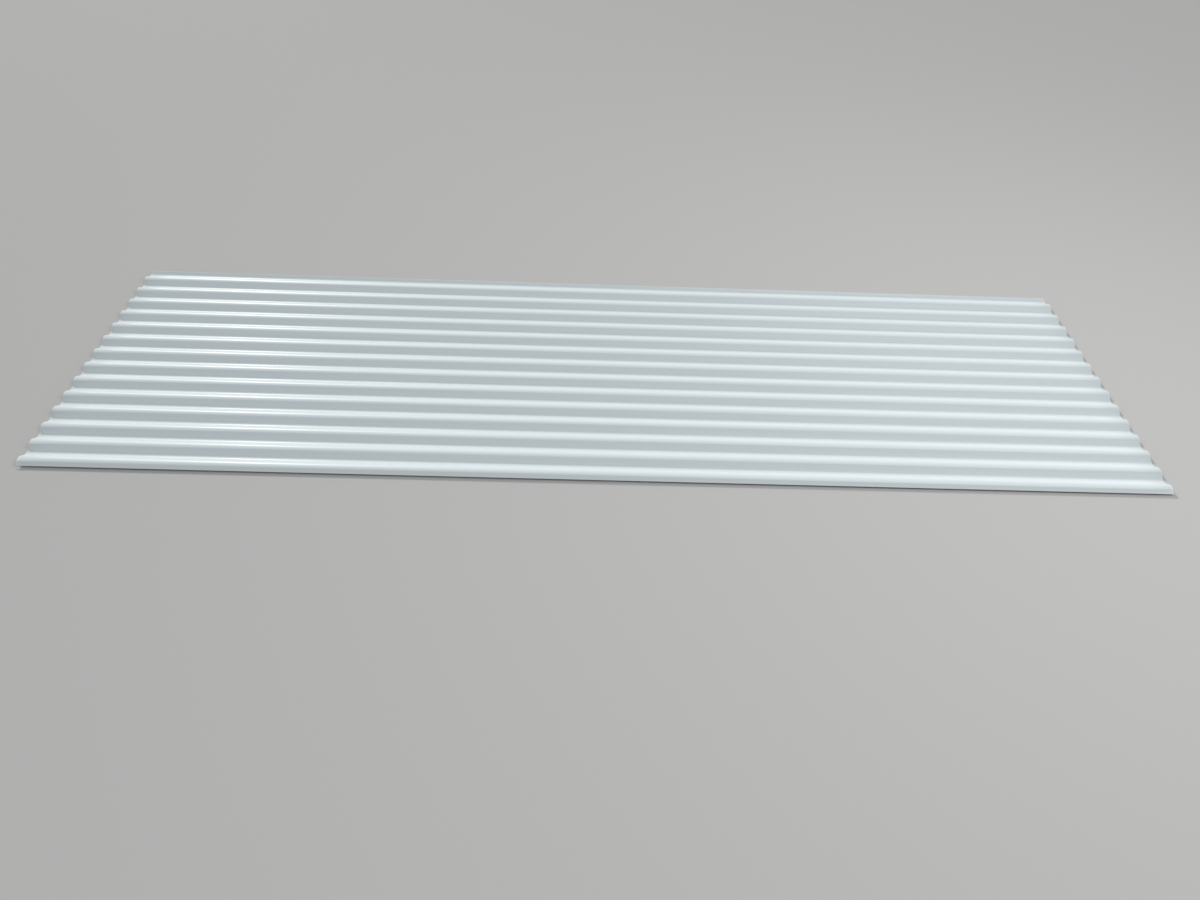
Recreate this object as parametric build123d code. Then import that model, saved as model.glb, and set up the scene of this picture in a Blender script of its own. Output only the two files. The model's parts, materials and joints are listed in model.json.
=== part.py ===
from build123d import *
import math
import os

# Corrugated roofing sheet, rolled as one piece from a flat strip of coated steel.
# It lies face up. X runs along the waves, Y across them, and Z is up.
# The origin is under the middle of the sheet, level with the undersides of its valleys.

# Sizes of the rolled section, in millimetres, taken at the middle of the metal
pitch = 76.0                 # from one crest to the next
crest_count = 14             # crests across the sheet
depth = 16.0                 # from valley to crest
straight_flank = 12.0        # flat slope between a crest bend and a valley bend
metal_thickness = 0.6        # coated steel

# Side edges: one turns down off the first crest, the other turns up out of the last valley,
# so that the turned-down edge of the next sheet lies over the turned-up edge of this one
lowered_edge_reach = 22.5    # from the first crest to the turned-down edge, across the sheet
raised_edge_reach = 20.0     # from the last valley to the turned-up edge, across the sheet

# Cut length
sheet_length = 3600.0

# Bends: each crest and valley is an arc, and the flanks are tangent to both
half_pitch = pitch / 2
bend_radius = (half_pitch**2 + depth**2 - straight_flank**2) / (4 * depth)
centre_rise = 2 * bend_radius - depth
flank_angle = math.atan2(2 * bend_radius, straight_flank) - math.atan2(centre_rise, half_pitch)
bend_run = bend_radius * math.sin(flank_angle)
bend_drop = bend_radius * (1 - math.cos(flank_angle))
flank_run = straight_flank * math.cos(flank_angle)

# The bends alternate, with a spare valley before the first crest and a spare crest
# after the last valley, both to be trimmed away at the side edges
first_crest = 1
last_valley = 2 * crest_count
bend_count = last_valley + 2


def is_crest(index):
    """Tell whether a bend is a crest: every second one is, after the spare valley."""
    return index % 2 == 1


def bend_arc(index, side):
    """Draw one bend's arc on the upper face (side 1) or the lower face (side -1)."""
    angle = math.degrees(flank_angle)
    half_thickness = side * metal_thickness / 2
    if is_crest(index):
        centre = (index * half_pitch, depth - bend_radius)
        return CenterArc(centre, bend_radius + half_thickness, 90 + angle, -2 * angle)
    centre = (index * half_pitch, bend_radius)
    return CenterArc(centre, bend_radius - half_thickness, 270 - angle, 2 * angle)


def wave_line(side):
    """Join the bends of one face with its straight flanks."""
    bends = [bend_arc(index, side) for index in range(bend_count)]
    flanks = [Line(bend @ 1, following @ 0) for bend, following in zip(bends, bends[1:])]
    return bends + flanks


def flank_point(reach):
    """Find the metal's move from a bend's level, and its slope, at a reach from the bend's centre."""
    if reach <= bend_run:
        slope = math.asin(reach / bend_radius)
        return bend_radius * (1 - math.cos(slope)), slope
    if reach <= bend_run + flank_run:
        return bend_drop + (reach - bend_run) * math.tan(flank_angle), flank_angle
    left = half_pitch - reach
    slope = math.asin(left / bend_radius)
    return depth - bend_radius * (1 - math.cos(slope)), slope


def wave_band():
    """Close the upper and lower faces into the section of a sheet with its spare bends."""
    upper = wave_line(1)
    lower = wave_line(-1)
    first, last = 0, bend_count - 1
    ends = [Line(upper[index] @ end, lower[index] @ end) for index, end in ((first, 0), (last, 1))]
    return make_face(Curve() + upper + lower + ends)


def edge_planes():
    """Place the two planes that slit the strip, each square to the metal and facing inwards."""
    drop, slope = flank_point(lowered_edge_reach)
    lowered_point = (first_crest * half_pitch - lowered_edge_reach, depth - drop)
    lowered = Plane(lowered_point, x_dir=(0, 0, 1), z_dir=(math.cos(slope), math.sin(slope), 0))
    rise, slope = flank_point(raised_edge_reach)
    raised_point = (last_valley * half_pitch + raised_edge_reach, rise)
    raised = Plane(raised_point, x_dir=(0, 0, 1), z_dir=(-math.cos(slope), -math.sin(slope), 0))
    return lowered, raised


def sheet_section():
    """Trim the wave band to its two side edges."""
    section = wave_band()
    for plane in edge_planes():
        section = split(section, bisect_by=plane, keep=Keep.TOP)
    return section


def corrugated_sheet():
    """Carry the section along the cut length and set the sheet down on its valleys."""
    profile = Plane.YZ * sheet_section()
    sheet = extrude(profile, amount=sheet_length)
    box = sheet.bounding_box()
    return Pos(-box.center().X, -box.center().Y, -box.min.Z) * sheet


os.makedirs("parts", exist_ok=True)
sheet = corrugated_sheet()
sheet.label = "corrugated_sheet"
export_step(sheet, "parts/corrugated_sheet.step")
print(f"bend radius {bend_radius:.2f} mm, flank angle {math.degrees(flank_angle):.1f} degrees")
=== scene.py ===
import json
import logging
import math
from dataclasses import dataclass, field
from enum import Enum

import bpy
import numpy as np
from mathutils import Euler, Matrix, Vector


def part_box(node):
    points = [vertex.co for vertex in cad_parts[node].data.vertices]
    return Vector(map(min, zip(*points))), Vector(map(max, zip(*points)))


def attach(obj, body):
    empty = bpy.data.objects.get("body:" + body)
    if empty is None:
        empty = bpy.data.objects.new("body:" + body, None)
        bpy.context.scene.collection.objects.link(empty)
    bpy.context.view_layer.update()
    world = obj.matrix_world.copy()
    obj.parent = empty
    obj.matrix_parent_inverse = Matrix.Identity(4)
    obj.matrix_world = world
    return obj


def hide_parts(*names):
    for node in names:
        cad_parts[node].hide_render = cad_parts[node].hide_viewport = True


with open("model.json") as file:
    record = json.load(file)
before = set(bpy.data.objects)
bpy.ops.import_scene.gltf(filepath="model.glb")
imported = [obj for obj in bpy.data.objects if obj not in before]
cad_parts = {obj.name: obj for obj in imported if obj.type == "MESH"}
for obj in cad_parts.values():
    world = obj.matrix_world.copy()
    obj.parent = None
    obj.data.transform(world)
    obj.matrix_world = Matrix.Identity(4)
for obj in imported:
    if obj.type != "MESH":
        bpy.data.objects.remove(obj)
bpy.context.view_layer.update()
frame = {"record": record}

# A corrugated roofing sheet of painted steel, dressed for its picture.
# Everything is in metres. X runs along the waves, Y across them, and Z is up from the floor.

NODE = "corrugated_sheet"
BODY = "root"

MILLIMETRE = 0.001

# Decimals of a metre past which two lines of points are one
MERGE_DECIMALS = 7

# The levels that noise mostly lies between, so that a finish uses its whole range
NOISE_RANGE = (0.3, 0.7)

# Names of what the sheet's mesh carries for its finishes
DEVELOPED_MAP = "developed"
VALLEY_SHARE = "valley_share"
EDGE_DISTANCE = "edge_distance"

log = logging.getLogger("sheet_scene")


class Side(Enum):
    """The two faces of the metal, with the way each lies from the middle of it."""

    UPPER = 1
    LOWER = -1


class Skin(Enum):
    """What covers a face of the mesh, with its place in the material list."""

    WEATHER = 0
    BACKING = 1
    CUT = 2


class Border(Enum):
    """The four rims at which the metal is cut."""

    NEAR = "near"
    FAR = "far"
    LEFT = "left"
    RIGHT = "right"


def mount_point(name: str) -> Vector:
    """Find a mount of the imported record.

    Args:
        name: the mount's name.

    Returns:
        Its place in the frame, in metres.
    """
    mounts = {mount["name"]: mount for mount in frame["record"]["mounts"]}
    return Vector(mounts[name]["pos_m"])


@dataclass(frozen=True)
class Shoulder:
    """The faint crease that the last forming roll leaves on each side of a crest, squaring it a little.

    Attributes:
        reach: distance of the crease from the crest's middle.
        run: distance over which the flank takes the crease up again.
        lift: height of the crease over the plain arc.
        round_over: half the width over which the crease is rounded.
    """

    reach: float = 11.5 * MILLIMETRE
    run: float = 3.5 * MILLIMETRE
    lift: float = 0.35 * MILLIMETRE
    round_over: float = 0.5 * MILLIMETRE

    def rise(self, past: np.ndarray) -> tuple[np.ndarray, np.ndarray]:
        """Work out what the shoulder adds to the plain section.

        The lift grows with the square of the distance from the crest's middle up to the crease, and
        falls with the square of the distance that is left of the run beyond it.

        Args:
            past: distances from the crest's middle.

        Returns:
            The added levels, and how steeply they grow with the distance.
        """
        inner = past / self.reach
        outer = np.clip(1 - (past - self.reach) / self.run, 0, 1)
        grows = past <= self.reach
        added = self.lift * np.where(grows, inner**2, outer**2)
        return added, 2 * self.lift * np.where(grows, inner / self.reach, -outer / self.run)

    def lines(self) -> np.ndarray:
        """Distances from the crest's middle where the crease needs points of the mesh."""
        return np.array([self.reach - self.round_over, self.reach + self.round_over, self.reach + self.run])


@dataclass(frozen=True)
class WaveSection:
    """The line midway through the metal, across the waves.

    Each crest and each valley is an arc, and straight flanks join them, tangent to both. The crease
    beside each crest lifts the line by about a third of a millimetre at most.

    Attributes:
        depth: rise of the line from a valley to a crest.
        valley_y: place of one valley's middle across the sheet.
        valley_z: level of the line in the valleys.
        shoulder: the crease beside each crest.
        pitch: distance from one crest to the next.
        flank: length of the straight slope between two bends.
        spare: least distance between two lines of points of the mesh.
    """

    depth: float
    valley_y: float
    valley_z: float
    shoulder: Shoulder = field(default_factory=Shoulder)
    pitch: float = 76 * MILLIMETRE
    flank: float = 12 * MILLIMETRE
    spare: float = 0.4 * MILLIMETRE

    @property
    def half_pitch(self) -> float:
        """Distance from a valley to the next crest."""
        return self.pitch / 2

    @property
    def radius(self) -> float:
        """Radius of the bends: the squares of half pitch and depth less the flank's, over four depths."""
        return (self.half_pitch**2 + self.depth**2 - self.flank**2) / (4 * self.depth)

    @property
    def flank_angle(self) -> float:
        """Slope of the flanks, in radians."""
        lean = math.atan2(2 * self.radius - self.depth, self.half_pitch)
        return math.atan2(2 * self.radius, self.flank) - lean

    def rise(self, y: np.ndarray) -> tuple[np.ndarray, np.ndarray]:
        """Work out the line's level and slope at places across the sheet.

        The place is folded to its distance t from the nearest valley. Within the bend, the level is the
        radius less the root of radius squared minus t squared, and the slope is the arc sine of t over
        the radius. A crest's bend is the same, turned over, and the flank between them is straight.

        Args:
            y: places across the sheet.

        Returns:
            The levels in metres, and the slopes in radians, positive where the line climbs towards +Y.
        """
        offset = (y - self.valley_y + self.half_pitch) % self.pitch - self.half_pitch
        away = np.abs(offset)
        past = self.half_pitch - away
        radius, angle = self.radius, self.flank_angle
        bend_run = radius * math.sin(angle)
        bend_rise = radius * (1 - math.cos(angle))
        reach = np.clip(np.minimum(away, past), 0, bend_run)
        curl = radius - np.sqrt(radius**2 - reach**2)
        on_flank = bend_rise + (away - bend_run) * math.tan(angle)
        in_valley = away <= bend_run
        in_crest = past <= bend_run
        level = np.where(in_valley, curl, np.where(in_crest, self.depth - curl, on_flank))
        steepness = np.tan(np.where(in_valley | in_crest, np.arcsin(reach / radius), angle))
        added, growth = self.shoulder.rise(past)
        return self.valley_z + level + added, np.arctan(steepness - growth) * np.sign(offset)

    def columns(self, near: float, far: float, bend_steps: int, flank_steps: int) -> np.ndarray:
        """Choose the places across the sheet where the mesh has a line of points.

        A half wave has even steps of angle in its two half bends and even steps along its flank.
        It is repeated both ways from each valley, and cut off at the sheet's two edges.

        Args:
            near: place of the edge at the -Y side.
            far: place of the edge at the +Y side.
            bend_steps: steps in half a bend.
            flank_steps: steps along a flank.

        Returns:
            The places, from near to far.
        """
        bend = self.radius * np.sin(np.linspace(0, self.flank_angle, bend_steps + 1))
        flank = np.linspace(bend[-1], self.half_pitch - bend[-1], flank_steps + 1)
        plain = np.concatenate([bend, flank[1:-1], self.half_pitch - bend[::-1]])
        lines = self.half_pitch - self.shoulder.lines()
        clear = np.abs(plain[:, None] - lines[None, :]).min(axis=1) > self.spare
        half_wave = np.concatenate([plain[clear], lines])
        wave = np.concatenate([-half_wave[half_wave > 0], half_wave])
        first = math.floor((near - self.valley_y) / self.pitch) - 1
        last = math.ceil((far - self.valley_y) / self.pitch) + 1
        valleys = self.valley_y + self.pitch * np.arange(first, last + 1)
        places = np.unique(np.round((valleys[:, None] + wave[None, :]).ravel(), MERGE_DECIMALS))
        inside = places[(places > near + self.spare) & (places < far - self.spare)]
        return np.concatenate([[near], inside, [far]])


@dataclass(frozen=True)
class CutRim:
    """The slight roll-over that shears leave along a cut: the metal thins towards the very edge.

    Attributes:
        width: how far in from the cut the metal has its full thickness.
        thinning: share of the thickness that is gone at the cut.
    """

    width: float = 0.12 * MILLIMETRE
    thinning: float = 0.3

    def add_lines(self, places: np.ndarray) -> np.ndarray:
        """Put one more line of points just inside each end of a row of places.

        Args:
            places: places from one cut to the other.

        Returns:
            The same places with the two more.
        """
        inner = [places[0] + self.width, places[-1] - self.width]
        return np.concatenate([places[:1], inner[:1], places[1:-1], inner[1:], places[-1:]])

    def thickness_share(self, distance: np.ndarray) -> np.ndarray:
        """Work out the share of the full thickness that the metal has near a cut.

        It grows as a quarter circle with the distance from the cut.

        Args:
            distance: distances from the nearest cut.

        Returns:
            Shares from one less the thinning, at the cut, to one.
        """
        run = np.clip(1 - distance / self.width, 0, 1)
        return 1 - self.thinning * (1 - np.sqrt(1 - run**2))


@dataclass
class SheetMetal:
    """The rolled sheet: its waves, its two slit side edges and its two cut ends, as one closed skin.

    Attributes:
        section: the line midway through the metal.
        near: place of the turned-down edge.
        far: place of the turned-up edge.
        left: place of the end at the -X side.
        right: place of the end at the +X side.
        thickness: thickness of the metal.
        rim: the roll-over along the cuts.
        bend_steps: steps of the mesh in half a bend.
        flank_steps: steps of the mesh along a flank.
        length_steps: steps of the mesh along the sheet.
        waver: most that the rolled line strays from its true place, which only shows in the highlights.
    """

    section: WaveSection
    near: float
    far: float
    left: float
    right: float
    thickness: float
    rim: CutRim = field(default_factory=CutRim)
    bend_steps: int = 8
    flank_steps: int = 3
    length_steps: int = 48
    waver: float = 0.05 * MILLIMETRE

    def across(self) -> np.ndarray:
        """Places of the mesh's lines across the sheet."""
        places = self.section.columns(self.near, self.far, self.bend_steps, self.flank_steps)
        return self.rim.add_lines(places)

    def along(self) -> np.ndarray:
        """Places of the mesh's lines along the sheet."""
        return self.rim.add_lines(np.linspace(self.left, self.right, self.length_steps + 1))

    def stray(self, y: np.ndarray, x: np.ndarray) -> np.ndarray:
        """Work out how far the line strays sideways, as a rolled sheet's waves do along its length.

        Three slow sines of the place along the sheet are added. Their phases grow across the sheet, so
        they differ from wave to wave.

        Args:
            y: places across the sheet.
            x: places along the sheet.

        Returns:
            The sideways moves, as a grid.
        """
        wavelengths = np.array([1.9, 0.83, 0.47])
        shares = np.array([0.5, 0.3, 0.2])
        turns_per_metre_across = np.array([1.3, 2.9, 7.1])
        turns = x[None, :, None] / wavelengths + y[:, None, None] * turns_per_metre_across
        return self.waver * (np.sin(2 * math.pi * turns) * shares).sum(axis=-1)

    def edge_distance(self, y: np.ndarray, x: np.ndarray) -> np.ndarray:
        """Work out how far each grid point is from the nearest cut, as seen from above.

        Args:
            y: places across the sheet.
            x: places along the sheet.

        Returns:
            The distances, as a grid.
        """
        from_sides = np.minimum(y - self.near, self.far - y)
        from_ends = np.minimum(x - self.left, self.right - x)
        return np.minimum(from_sides[:, None], from_ends[None, :])

    def face_points(self, side: Side) -> np.ndarray:
        """Work out the grid of one face of the metal.

        A point is the section's point, moved half the thickness along the section's normal, and carried
        to its place along the sheet. The section is read a hair to the side where the line strays.

        Args:
            side: which face.

        Returns:
            Points by line across, line along, and X, Y, Z.
        """
        y, x = self.across(), self.along()
        read_at = y[:, None] + self.stray(y, x)
        level, slope = self.section.rise(read_at)
        share = self.rim.thickness_share(self.edge_distance(y, x))
        half = side.value * self.thickness / 2 * share
        grid_y = y[:, None] - half * np.sin(slope)
        grid_z = level + half * np.cos(slope)
        grid_x = np.broadcast_to(x[None, :], grid_y.shape)
        return np.stack([grid_x, grid_y, grid_z], axis=-1)

    def developed(self) -> np.ndarray:
        """Add up the way over the rolled surface from the near edge to each line across.

        Returns:
            The distances, one for each line.
        """
        y = self.across()
        level, _ = self.section.rise(y)
        steps = np.hypot(np.diff(y), np.diff(level))
        return np.concatenate([[0.0], np.cumsum(steps)])

    @staticmethod
    def rim_strip(border: Border, upper: np.ndarray, lower: np.ndarray) -> np.ndarray:
        """List the faces of one cut rim, which join the two faces of the metal and look outwards.

        Args:
            border: which rim.
            upper: numbers of the upper face's points, by line across and line along.
            lower: numbers of the lower face's points, in the same order.

        Returns:
            The corners of each face, as rows of four.
        """
        cuts = {
            Border.NEAR: (0, slice(None, None, -1)),
            Border.FAR: (-1, slice(None)),
            Border.LEFT: (slice(None), 0),
            Border.RIGHT: (slice(None, None, -1), -1),
        }
        top, bottom = upper[cuts[border]], lower[cuts[border]]
        return np.stack([top[:-1], top[1:], bottom[1:], bottom[:-1]], axis=-1)

    def quads(self) -> tuple[np.ndarray, np.ndarray]:
        """List the faces of the closed skin, all turned outwards, and what covers each.

        The upper face's points come first, line by line, and then the lower face's in the same order.

        Returns:
            The corners of each face as rows of four, and the place of each face's material.
        """
        count_y, count_x = self.across().size, self.along().size
        upper = np.arange(count_y * count_x).reshape(count_y, count_x)
        lower = upper + upper.size
        a, b = upper[:-1, :-1], upper[:-1, 1:]
        c, d = upper[1:, 1:], upper[1:, :-1]
        weather = np.stack([a, b, c, d], axis=-1).reshape(-1, 4)
        backing = weather[:, ::-1] + upper.size
        cut = np.concatenate([self.rim_strip(border, upper, lower) for border in Border])
        corners = np.concatenate([weather, backing, cut])
        kinds = [(Skin.WEATHER, weather), (Skin.BACKING, backing), (Skin.CUT, cut)]
        covers = np.concatenate([np.full(len(rows), skin.value) for skin, rows in kinds])
        return corners, covers

    def build(self) -> bpy.types.Object:
        """Make the sheet's mesh, with its map and the values that its finishes read.

        Returns:
            The object, which stands at the origin with its place in its mesh.
        """
        points = np.concatenate([self.face_points(side).reshape(-1, 3) for side in Side])
        corners, covers = self.quads()
        mesh = bpy.data.meshes.new("rolled_sheet")
        mesh.from_pydata(points, [], corners)
        mesh.polygons.foreach_set("material_index", covers)
        mesh.polygons.foreach_set("use_smooth", covers != Skin.CUT.value)
        self.write_map(mesh, corners)
        self.write_values(mesh)
        mesh.validate()
        mesh.update()
        piece = bpy.data.objects.new("rolled_sheet", mesh)
        bpy.context.scene.collection.objects.link(piece)
        return piece

    def write_map(self, mesh: bpy.types.Mesh, corners: np.ndarray) -> None:
        """Write the flat strip's coordinates as a UV map: along the sheet, and across it over the waves.

        Args:
            mesh: the sheet's mesh.
            corners: its faces, as rows of four points.
        """
        along, developed = self.along() - self.left, self.developed()
        flat = np.stack(np.broadcast_arrays(along[None, :], developed[:, None]), axis=-1).reshape(-1, 2)
        both = np.concatenate([flat, flat])
        layer = mesh.uv_layers.new(name=DEVELOPED_MAP)
        layer.uv.foreach_set("vector", both[corners.ravel()].astype(np.float32).ravel())

    def write_values(self, mesh: bpy.types.Mesh) -> None:
        """Write, for each point, how near it is to a valley's bottom and to a cut.

        Args:
            mesh: the sheet's mesh.
        """
        y, x = self.across(), self.along()
        level, _ = self.section.rise(y)
        valley = 1 - (level - self.section.valley_z) / self.section.depth
        grids = {
            VALLEY_SHARE: np.broadcast_to(valley[:, None], (y.size, x.size)),
            EDGE_DISTANCE: self.edge_distance(y, x),
        }
        for name, grid in grids.items():
            attribute = mesh.attributes.new(name, "FLOAT", "POINT")
            attribute.data.foreach_set("value", np.tile(grid.ravel(), 2).astype(np.float32))


Socket = bpy.types.NodeSocket
Value = float | tuple[float, ...] | Socket


@dataclass
class NodeBoard:
    """A short hand for laying out shader nodes in one tree.

    Attributes:
        tree: the node tree that the nodes go into.
    """

    tree: bpy.types.NodeTree

    def feed(self, socket: Socket, value: Value) -> None:
        """Link a socket to another, or set its value.

        Args:
            socket: the input.
            value: an output to link, or a number or colour.
        """
        if isinstance(value, bpy.types.NodeSocket):
            self.tree.links.new(value, socket)
        elif isinstance(value, tuple) and len(value) == 3 and socket.type == "RGBA":
            socket.default_value = (*value, 1.0)
        else:
            socket.default_value = value

    def node(
        self, kind: str, inputs: dict[str | int, Value] | None = None, **settings: str | bool
    ) -> bpy.types.Node:
        """Add a node, with its settings and inputs.

        Args:
            kind: Blender's name for the type of node.
            inputs: what feeds each input, by the input's name or number.
            settings: the node's own settings.

        Returns:
            The node.
        """
        made = self.tree.nodes.new(kind)
        for name, setting in settings.items():
            setattr(made, name, setting)
        for name, value in (inputs or {}).items():
            self.feed(made.inputs[name], value)
        return made

    def maths(self, operation: str, *values: Value) -> Socket:
        """Add a Math node and give its result.

        Args:
            operation: Blender's name for the operation.
            values: its operands, in order.

        Returns:
            The result's socket.
        """
        return self.node("ShaderNodeMath", dict(enumerate(values)), operation=operation).outputs[0]

    def spread(self, value: Value, low: float, high: float, to_low: float, to_high: float) -> Socket:
        """Carry a value from one range to another, held at both ends.

        Args:
            value: the value to carry.
            low: where the first range starts.
            high: where it ends.
            to_low: what low becomes.
            to_high: what high becomes.

        Returns:
            The carried value's socket.
        """
        ends = {"From Min": low, "From Max": high, "To Min": to_low, "To Max": to_high}
        return self.node("ShaderNodeMapRange", {"Value": value, **ends}).outputs["Result"]

    def mix(self, share: Value, first: Value, second: Value) -> Socket:
        """Mix two colours.

        Args:
            share: how much of the second there is.
            first: the colour at a share of none.
            second: the colour at a share of one.

        Returns:
            The mixed colour's socket.
        """
        made = self.node("ShaderNodeMix", data_type="RGBA")
        self.feed(made.inputs["Factor"], share)
        for socket, colour in zip([s for s in made.inputs if s.type == "RGBA"], (first, second)):
            self.feed(socket, colour)
        return next(s for s in made.outputs if s.type == "RGBA")

    def attribute(self, name: str) -> Socket:
        """Read a value that the mesh carries.

        Args:
            name: the attribute's name.

        Returns:
            Its value's socket.
        """
        made = self.node("ShaderNodeAttribute", attribute_type="GEOMETRY", attribute_name=name)
        return made.outputs["Fac"]

    def group(self, tree: bpy.types.NodeTree, inputs: dict[str, Value]) -> bpy.types.Node:
        """Place a node group.

        Args:
            tree: the group's own tree.
            inputs: what feeds each of its inputs.

        Returns:
            The group's node.
        """
        made = self.node("ShaderNodeGroup")
        made.node_tree = tree
        for name, value in inputs.items():
            self.feed(made.inputs[name], value)
        return made


def start_group(
    name: str, inputs: dict[str, float], outputs: list[str]
) -> tuple[NodeBoard, bpy.types.Node, bpy.types.Node]:
    """Start a shader node group whose sockets are all plain values.

    Args:
        name: the group's name.
        inputs: its inputs, each with the value it starts with.
        outputs: its outputs.

    Returns:
        The board to lay the group's nodes on, its input node and its output node.
    """
    tree = bpy.data.node_groups.new(name, "ShaderNodeTree")
    for label, value in inputs.items():
        socket = tree.interface.new_socket(label, in_out="INPUT", socket_type="NodeSocketFloat")
        socket.default_value = value
    for label in outputs:
        tree.interface.new_socket(label, in_out="OUTPUT", socket_type="NodeSocketFloat")
    board = NodeBoard(tree)
    return board, board.node("NodeGroupInput"), board.node("NodeGroupOutput")


@dataclass
class SurfaceEffects:
    """The effects that the sheet's finishes share, each a shader node group."""

    def __post_init__(self) -> None:
        """Build each group once."""
        self.streaks = self.roll_streaks()
        self.peel = self.paint_peel()
        self.dust = self.settled_dust()
        self.rim_wear_and_highlight = self.edge_wear_and_highlight()

    @staticmethod
    def roll_streaks() -> bpy.types.NodeTree:
        """Build the long faint lines that rolls and the coil line leave along the sheet.

        Noise over the flat strip's map, drawn out along the sheet, gives a value about a half.

        Returns:
            The group, with one output, Streak.
        """
        inputs = {"Streaks Per Metre": 160.0, "Streak Length": 1.2, "Detail": 3.0}
        board, given, result = start_group("roll_streaks", inputs, ["Streak"])
        flat = board.node("ShaderNodeUVMap", uv_map=DEVELOPED_MAP)
        parts = board.node("ShaderNodeSeparateXYZ", {"Vector": flat.outputs["UV"]})
        along = board.maths("DIVIDE", parts.outputs["X"], given.outputs["Streak Length"])
        across = board.maths("MULTIPLY", parts.outputs["Y"], given.outputs["Streaks Per Metre"])
        place = board.node("ShaderNodeCombineXYZ", {"X": along, "Y": across})
        noise = board.node(
            "ShaderNodeTexNoise",
            {"Vector": place.outputs[0], "Scale": 1.0, "Detail": given.outputs["Detail"]},
            noise_dimensions="2D",
        )
        board.feed(result.inputs["Streak"], noise.outputs["Fac"])
        return board.tree

    @staticmethod
    def paint_peel() -> bpy.types.NodeTree:
        """Build the fine orange peel of a baked coat.

        Noise in the object's own space, at the size of the peel's cells, gives a height about a half.

        Returns:
            The group, with one output, Height.
        """
        board, given, result = start_group("paint_peel", {"Cell Size": 0.001}, ["Height"])
        place = board.node("ShaderNodeTexCoord")
        scale = board.maths("DIVIDE", 1.0, given.outputs["Cell Size"])
        noise = board.node(
            "ShaderNodeTexNoise",
            {"Vector": place.outputs["Object"], "Scale": scale, "Detail": 2.0},
        )
        board.feed(result.inputs["Height"], noise.outputs["Fac"])
        return board.tree

    @staticmethod
    def settled_dust() -> bpy.types.NodeTree:
        """Build the faint dust that settles in the valleys and in soft patches.

        The valley share, raised to a power, is multiplied by blotches of noise.

        Returns:
            The group, with one output, Dust.
        """
        inputs = {"Patch Size": 0.35, "Valley Power": 3.0}
        board, given, result = start_group("settled_dust", inputs, ["Dust"])
        place = board.node("ShaderNodeTexCoord")
        scale = board.maths("DIVIDE", 1.0, given.outputs["Patch Size"])
        noise = board.node(
            "ShaderNodeTexNoise",
            {"Vector": place.outputs["Object"], "Scale": scale, "Detail": 6.0, "Roughness": 0.62},
        )
        patch_edges = (0.38, 0.66)
        faintest = 0.15
        patches = board.spread(noise.outputs["Fac"], *patch_edges, faintest, 1.0)
        low = board.maths("POWER", board.attribute(VALLEY_SHARE), given.outputs["Valley Power"])
        board.feed(result.inputs["Dust"], board.maths("MULTIPLY", low, patches))
        return board.tree

    @staticmethod
    def edge_wear_and_highlight() -> bpy.types.NodeTree:
        """Build the lighter strip beside a cut, broken up by noise: rubbed paint and a painted highlight
        along the rim.

        The share falls from one at the cut to none at the reach, less the noise.

        Returns:
            The group, with one output, Wear And Highlight.
        """
        board, given, result = start_group("edge_wear_and_highlight", {"Reach": 0.004}, ["Rubbed"])
        place = board.node("ShaderNodeTexCoord")
        noise = board.node(
            "ShaderNodeTexNoise",
            {"Vector": place.outputs["Object"], "Scale": 260.0, "Detail": 4.0},
        )
        run = board.maths("DIVIDE", board.attribute(EDGE_DISTANCE), given.outputs["Reach"])
        near = board.maths("SUBTRACT", 1.0, run)
        breaks = (-0.7, 0.2)
        full_at = 0.5
        broken = board.maths("ADD", near, board.spread(noise.outputs["Fac"], *NOISE_RANGE, *breaks))
        board.feed(result.inputs["Rubbed"], board.spread(broken, 0.0, full_at, 0.0, 1.0))
        return board.tree


def start_material(name: str) -> tuple[bpy.types.Material, NodeBoard, bpy.types.Node]:
    """Start a node material that holds one Principled BSDF.

    Args:
        name: the material's name.

    Returns:
        The material, a board for its nodes and its shader.
    """
    material = bpy.data.materials.new(name)
    material.use_nodes = True
    board = NodeBoard(material.node_tree)
    return material, board, material.node_tree.nodes["Principled BSDF"]


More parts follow.
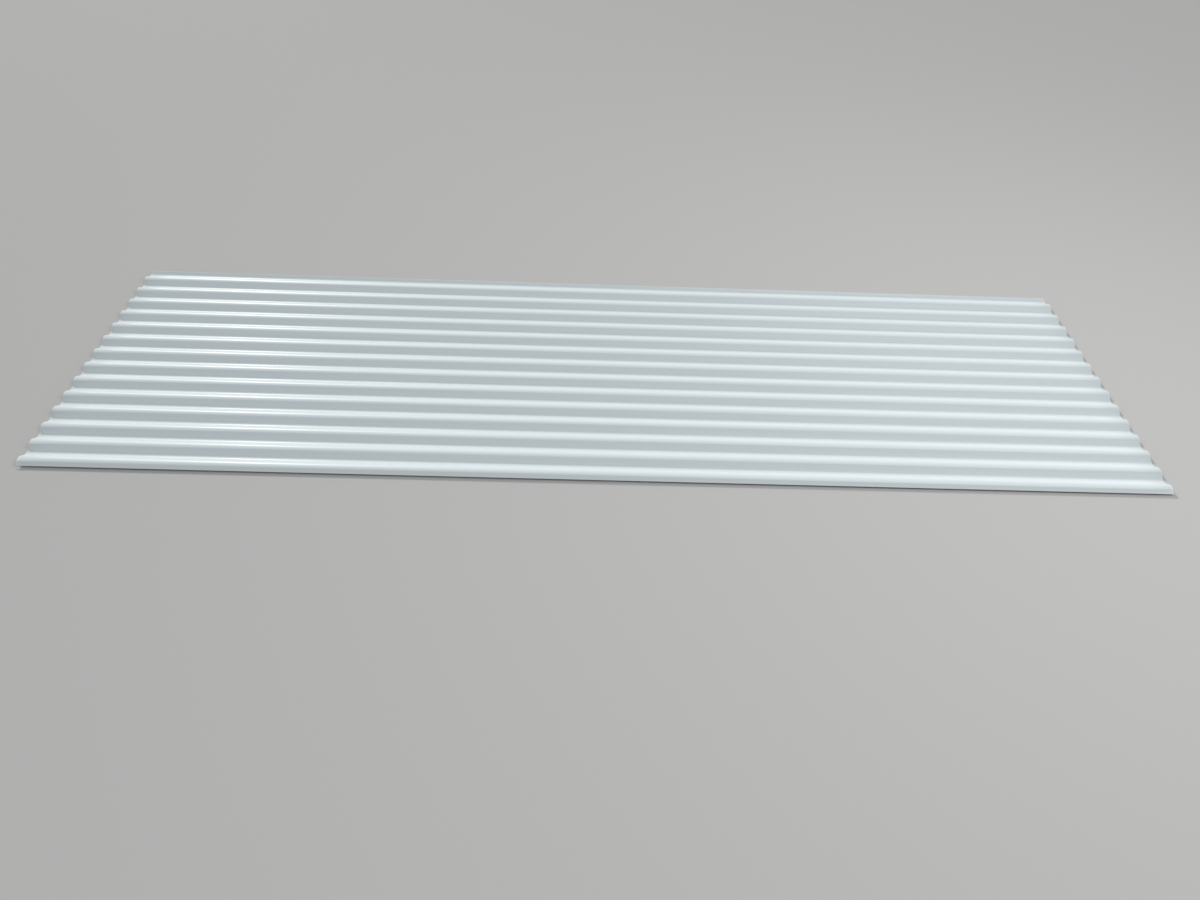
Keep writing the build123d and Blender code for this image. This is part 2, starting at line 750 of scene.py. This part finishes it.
@dataclass(frozen=True)
class WeatherPaint:
    """The satin topcoat of the weather face: pale cool grey, baked on before the strip was rolled.

    Attributes:
        colour: the clean coat.
        worn_colour: the coat where its streaks are lightest in pigment.
        dust_colour: what lies in the valleys.
        dust_share: most of the coat that the dust hides.
        rim_wear_and_highlight_colour: the lighter coat beside a cut, rubbed paint and a painted highlight
            along the rim.
        roughness: of the clean coat, between its glossiest and dullest streaks.
        dust_dulling: what full dust adds to the roughness.
        peel_height: height of the orange peel.
        streak_height: height of the roll lines.
        refraction: index of refraction of the coat.
        specular_level: strength of the coat's own gloss, where a half is that of plain paint.
        gloss_weight: share of the clearer film on top.
        gloss_roughness: roughness of that film.
    """

    colour: tuple[float, float, float] = (0.718, 0.781, 0.797)
    worn_colour: tuple[float, float, float] = (0.693, 0.761, 0.782)
    dust_colour: tuple[float, float, float] = (0.56, 0.55, 0.52)
    dust_share: float = 0.10
    rim_wear_and_highlight_colour: tuple[float, float, float] = (0.80, 0.83, 0.83)
    roughness: tuple[float, float] = (0.40, 0.52)
    dust_dulling: float = 0.12
    peel_height: float = 0.012 * MILLIMETRE
    streak_height: float = 0.03 * MILLIMETRE
    refraction: float = 1.5
    specular_level: float = 0.2
    gloss_weight: float = 0.08
    gloss_roughness: float = 0.22

    def material(self, effects: SurfaceEffects) -> bpy.types.Material:
        """Make the coat.

        Args:
            effects: the shared node groups.

        Returns:
            The material.
        """
        made, board, shader = start_material("weather_paint")
        streaks = board.group(effects.streaks, {"Streaks Per Metre": 130.0, "Streak Length": 1.4})
        streak = streaks.outputs["Streak"]
        dust = board.group(effects.dust, {"Patch Size": 0.4, "Valley Power": 4.0}).outputs["Dust"]
        # Lighter coat beside each cut: rubbed paint and a painted highlight along the rim.
        wear_and_highlight = board.group(effects.rim_wear_and_highlight, {"Reach": 0.003}).outputs["Rubbed"]
        coat = board.mix(board.spread(streak, *NOISE_RANGE, 0.0, 1.0), self.colour, self.worn_colour)
        dusty = board.mix(board.maths("MULTIPLY", dust, self.dust_share), coat, self.dust_colour)
        board.feed(shader.inputs["Base Color"], board.mix(wear_and_highlight, dusty, self.rim_wear_and_highlight_colour))
        clean = board.spread(streak, *NOISE_RANGE, *self.roughness)
        dulled = board.maths("ADD", clean, board.maths("MULTIPLY", dust, self.dust_dulling))
        board.feed(shader.inputs["Roughness"], dulled)
        peel = board.group(effects.peel, {"Cell Size": 0.0011}).outputs["Height"]
        fine = board.maths("MULTIPLY", peel, self.peel_height)
        lines = board.maths("MULTIPLY", streak, self.streak_height)
        bump = board.node("ShaderNodeBump", {"Distance": 1.0, "Height": board.maths("ADD", fine, lines)})
        board.feed(shader.inputs["Normal"], bump.outputs["Normal"])
        shader.inputs["IOR"].default_value = self.refraction
        shader.inputs["Specular IOR Level"].default_value = self.specular_level
        shader.inputs["Coat Weight"].default_value = self.gloss_weight
        shader.inputs["Coat Roughness"].default_value = self.gloss_roughness
        return made


@dataclass(frozen=True)
class BackingCoat:
    """The thin matt wash coat of the underside.

    Attributes:
        colour: the coat where it is thickest.
        thin_colour: the coat where zinc shows through a little.
        roughness: between its streaks.
        peel_height: height of its fine texture.
    """

    colour: tuple[float, float, float] = (0.40, 0.43, 0.44)
    thin_colour: tuple[float, float, float] = (0.47, 0.49, 0.50)
    roughness: tuple[float, float] = (0.50, 0.62)
    peel_height: float = 0.015 * MILLIMETRE

    def material(self, effects: SurfaceEffects) -> bpy.types.Material:
        """Make the coat.

        Args:
            effects: the shared node groups.

        Returns:
            The material.
        """
        made, board, shader = start_material("backing_coat")
        streaks = board.group(effects.streaks, {"Streaks Per Metre": 90.0, "Streak Length": 0.8})
        streak = streaks.outputs["Streak"]
        # Lighter coat beside each cut on the underside: rubbed coat and a painted highlight along the rim.
        wear_and_highlight = board.group(effects.rim_wear_and_highlight, {"Reach": 0.005}).outputs["Rubbed"]
        coat = board.mix(board.spread(streak, *NOISE_RANGE, 0.0, 1.0), self.colour, self.thin_colour)
        board.feed(shader.inputs["Base Color"], board.mix(wear_and_highlight, coat, self.thin_colour))
        board.feed(shader.inputs["Roughness"], board.spread(streak, *NOISE_RANGE, *self.roughness))
        peel = board.group(effects.peel, {"Cell Size": 0.0007}).outputs["Height"]
        height = board.maths("MULTIPLY", peel, self.peel_height)
        bump = board.node("ShaderNodeBump", {"Distance": 1.0, "Height": height})
        board.feed(shader.inputs["Normal"], bump.outputs["Normal"])
        return made


@dataclass(frozen=True)
class CutSteel:
    """The bare rim that the shears leave: zinc smeared over bright steel.

    Attributes:
        zinc: the smeared part.
        steel: the broken part.
        roughness: between the two.
        metallic: how far it reflects as bare metal does.
        break_levels: the levels of noise between which zinc gives way to steel.
    """

    zinc: tuple[float, float, float] = (0.62, 0.64, 0.66)
    steel: tuple[float, float, float] = (0.45, 0.45, 0.46)
    roughness: tuple[float, float] = (0.35, 0.6)
    metallic: float = 0.85
    break_levels: tuple[float, float] = (0.4, 0.6)

    def material(self) -> bpy.types.Material:
        """Make the rim's finish.

        Returns:
            The material.
        """
        made, board, shader = start_material("cut_steel")
        place = board.node("ShaderNodeTexCoord")
        noise = board.node(
            "ShaderNodeTexNoise",
            {"Vector": place.outputs["Object"], "Scale": 900.0, "Detail": 3.0},
        )
        broken = board.spread(noise.outputs["Fac"], *self.break_levels, 0.0, 1.0)
        board.feed(shader.inputs["Base Color"], board.mix(broken, self.zinc, self.steel))
        board.feed(shader.inputs["Roughness"], board.spread(broken, 0.0, 1.0, *self.roughness))
        shader.inputs["Metallic"].default_value = self.metallic
        return made


@dataclass
class RolledSheet:
    """The whole object: the metal with its three skins.

    Attributes:
        thickness: thickness of the metal with its coats.
        paint: finish of the weather face.
        backing: finish of the underside.
        cut: finish of the cut rims.
    """

    thickness: float = 0.6 * MILLIMETRE
    paint: WeatherPaint = field(default_factory=WeatherPaint)
    backing: BackingCoat = field(default_factory=BackingCoat)
    cut: CutSteel = field(default_factory=CutSteel)

    def metal(self) -> SheetMetal:
        """Take the sheet's places from the frame: its box, the valley it is seated on and its two laps.

        Returns:
            The metal, fitted to the frame.
        """
        low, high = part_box(NODE)
        section = WaveSection(
            depth=high.z - low.z - self.thickness,
            valley_y=mount_point("purlin_seat").y,
            valley_z=low.z + self.thickness / 2,
        )
        near, far = mount_point("lowered_side_lap").y, mount_point("raised_side_lap").y
        return SheetMetal(section, near, far, low.x, high.x, self.thickness)

    def build(self, effects: SurfaceEffects) -> bpy.types.Object:
        """Make the sheet and dress it.

        Args:
            effects: the shared node groups.

        Returns:
            The sheet's object, which stands for the node of the frame.
        """
        piece = self.metal().build()
        skins = {
            Skin.WEATHER: self.paint.material(effects),
            Skin.BACKING: self.backing.material(effects),
            Skin.CUT: self.cut.material(),
        }
        for skin in Skin:
            piece.data.materials.append(skins[skin])
        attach(piece, BODY)
        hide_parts(NODE)
        return piece


@dataclass(frozen=True)
class StudioFloor:
    """The plain pale floor that the sheet lies on.

    Attributes:
        half_size: distance from the middle to each side.
        colour: its colour.
        roughness: its roughness.
    """

    half_size: float = 40.0
    colour: tuple[float, float, float] = (0.50, 0.50, 0.49)
    roughness: float = 0.9

    def build(self) -> bpy.types.Object:
        """Make the floor, level with the undersides of the valleys.

        Returns:
            The floor.
        """
        edge = self.half_size
        mesh = bpy.data.meshes.new("studio_floor")
        corners = [(-edge, -edge, 0.0), (edge, -edge, 0.0), (edge, edge, 0.0), (-edge, edge, 0.0)]
        mesh.from_pydata(corners, [], [(0, 1, 2, 3)])
        mesh.update()
        floor = bpy.data.objects.new("studio_floor", mesh)
        bpy.context.scene.collection.objects.link(floor)
        made, board, shader = start_material("floor_paint")
        board.feed(shader.inputs["Base Color"], self.colour)
        board.feed(shader.inputs["Roughness"], self.roughness)
        mesh.materials.append(made)
        return floor


@dataclass(frozen=True)
class StudioLights:
    """Soft light: a low key from behind on the left, a fill from above on the right, and an even dome.

    Attributes:
        key_from: direction from the sheet to the key.
        key_distance: how far off the key stands, which doesn't change its light.
        key_strength: light of the key, in watts for each square metre.
        key_angle: width of the key as seen from the sheet, in degrees.
        key_colour: colour of the key.
        fill_at: place of the fill.
        fill_to: point that the fill faces.
        fill_size: width of the fill.
        fill_power: power of the fill, in watts.
        dome_colour: colour of the even light.
        dome_strength: strength of the even light.
        backdrop: colour that the camera and reflections see past the floor.
    """

    key_from: tuple[float, float, float] = (-0.40, 0.87, 0.50)
    key_distance: float = 4.0
    key_strength: float = 1.92
    key_angle: float = 3.0
    key_colour: tuple[float, float, float] = (1.0, 0.985, 0.95)
    fill_at: tuple[float, float, float] = (2.1, -0.4, 3.0)
    fill_to: tuple[float, float, float] = (0.9, 0.0, 0.0)
    fill_size: float = 2.0
    fill_power: float = 31.0
    dome_colour: tuple[float, float, float] = (0.95, 0.975, 1.0)
    dome_strength: float = 0.503
    backdrop: tuple[float, float, float] = (0.52, 0.52, 0.52)

    def add_lamp(self, name: str, kind: str, place: Vector, back: Vector) -> bpy.types.Object:
        """Add a lamp.

        Args:
            name: the lamp's name.
            kind: Blender's name for the type of lamp.
            place: where it stands.
            back: direction that it shines away from.

        Returns:
            The lamp.
        """
        lamp = bpy.data.objects.new(name, bpy.data.lights.new(name, kind))
        lamp.location = place
        lamp.rotation_mode = "QUATERNION"
        lamp.rotation_quaternion = back.to_track_quat("Z", "Y")
        bpy.context.scene.collection.objects.link(lamp)
        return lamp

    def build(self) -> None:
        """Add the two lamps and the dome."""
        away = Vector(self.key_from)
        key = self.add_lamp("key", "SUN", away.normalized() * self.key_distance, away)
        key.data.energy = self.key_strength
        key.data.angle = math.radians(self.key_angle)
        key.data.color = self.key_colour
        place = Vector(self.fill_at)
        fill = self.add_lamp("fill", "AREA", place, place - Vector(self.fill_to))
        fill.data.energy = self.fill_power
        fill.data.size = self.fill_size
        self.build_dome()

    def build_dome(self) -> None:
        """Light the scene evenly, and show the plain backdrop to the camera and in reflections."""
        world = bpy.data.worlds.new("studio_dome")
        world.use_nodes = True
        bpy.context.scene.world = world
        board = NodeBoard(world.node_tree)
        output = world.node_tree.nodes["World Output"]
        light = world.node_tree.nodes["Background"]
        board.feed(light.inputs["Color"], self.dome_colour)
        board.feed(light.inputs["Strength"], self.dome_strength)
        shown = board.node("ShaderNodeBackground", {"Color": self.backdrop, "Strength": 1.0})
        path = board.node("ShaderNodeLightPath")
        seen = board.maths("MAXIMUM", path.outputs["Is Camera Ray"], path.outputs["Is Glossy Ray"])
        seen = board.maths("MAXIMUM", seen, path.outputs["Is Transmission Ray"])
        choice = board.node("ShaderNodeMixShader", {0: seen, 1: light.outputs[0], 2: shown.outputs[0]})
        board.feed(output.inputs["Surface"], choice.outputs[0])


@dataclass(frozen=True)
class PhotoCamera:
    """The camera at the photograph's place, height and tilt.

    Attributes:
        place: where it stands.
        turn: its turn about X, Y and Z, in degrees.
        focal_pixels: focal length in pixels of the frame.
        frame_pixels: width of the frame in pixels.
    """

    place: tuple[float, float, float] = (-0.0849, -2.2411, 1.855)
    turn: tuple[float, float, float] = (44.82, -2.095, -0.004)
    focal_pixels: float = 810.0
    frame_pixels: float = 1200.0

    def build(self) -> bpy.types.Object:
        """Make the camera and look through it.

        Returns:
            The camera.
        """
        data = bpy.data.cameras.new("photo_camera")
        data.sensor_fit = "HORIZONTAL"
        data.lens = data.sensor_width * self.focal_pixels / self.frame_pixels
        camera = bpy.data.objects.new("photo_camera", data)
        camera.location = self.place
        camera.rotation_euler = Euler([math.radians(angle) for angle in self.turn], "XYZ")
        bpy.context.scene.collection.objects.link(camera)
        bpy.context.scene.camera = camera
        return camera


def main() -> None:
    """Build the sheet and the studio round it, in order."""
    logging.basicConfig(level=logging.INFO, format="%(name)s: %(message)s")
    bpy.context.scene.view_settings.view_transform = "Standard"
    sheet = RolledSheet().build(SurfaceEffects())
    log.info("%s: %d points, %d faces", sheet.name, len(sheet.data.vertices), len(sheet.data.polygons))
    floor = StudioFloor().build()
    log.info("%s: stage", floor.name)
    StudioLights().build()
    log.info("key, fill and dome: lights")
    camera = PhotoCamera().build()
    log.info("%s: lens %.2f mm", camera.name, camera.data.lens)


if __name__ == "__main__":
    main()
